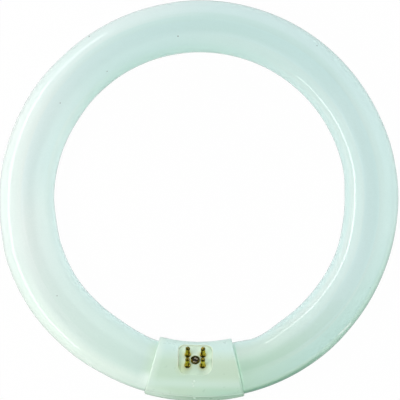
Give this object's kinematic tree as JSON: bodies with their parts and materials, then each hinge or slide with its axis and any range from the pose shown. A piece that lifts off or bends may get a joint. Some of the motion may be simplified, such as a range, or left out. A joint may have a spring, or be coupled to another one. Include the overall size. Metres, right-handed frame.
{
  "type": "circular fluorescent tube",
  "caption": "Ring-shaped fluorescent lamp: white-coated glass tube closed by a moulded cap with tilted contact pins in a recess.",
  "frame": {"origin": "centre of the ring, on the middle plane of the tube", "axes": "+Z along the ring's axis to the side that the pins face, -Y to the middle of the cap, X across the cap"},
  "size_m": [0.21, 0.2112, 0.034],
  "materials": {
    "coated_glass": "gloss glass over a white coat, opaque",
    "cap_plastic": "satin moulding",
    "brass": "dull",
    "screw_steel": "plain",
    "lead_wire": "plated wire"
  },
  "bodies": {
    "root": {"glass_tube": "coated_glass", "cap_front_shell": "cap_plastic", "cap_back_shell": "cap_plastic", "cap_screw": "screw_steel", "screw_eyelet": "brass", "contact_pin_1": "brass", "lead_wire_1": "lead_wire", "contact_pin_2": "brass", "lead_wire_2": "lead_wire", "contact_pin_3": "brass", "lead_wire_3": "lead_wire", "contact_pin_4": "brass", "lead_wire_4": "lead_wire"}
  },
  "joints": []
}
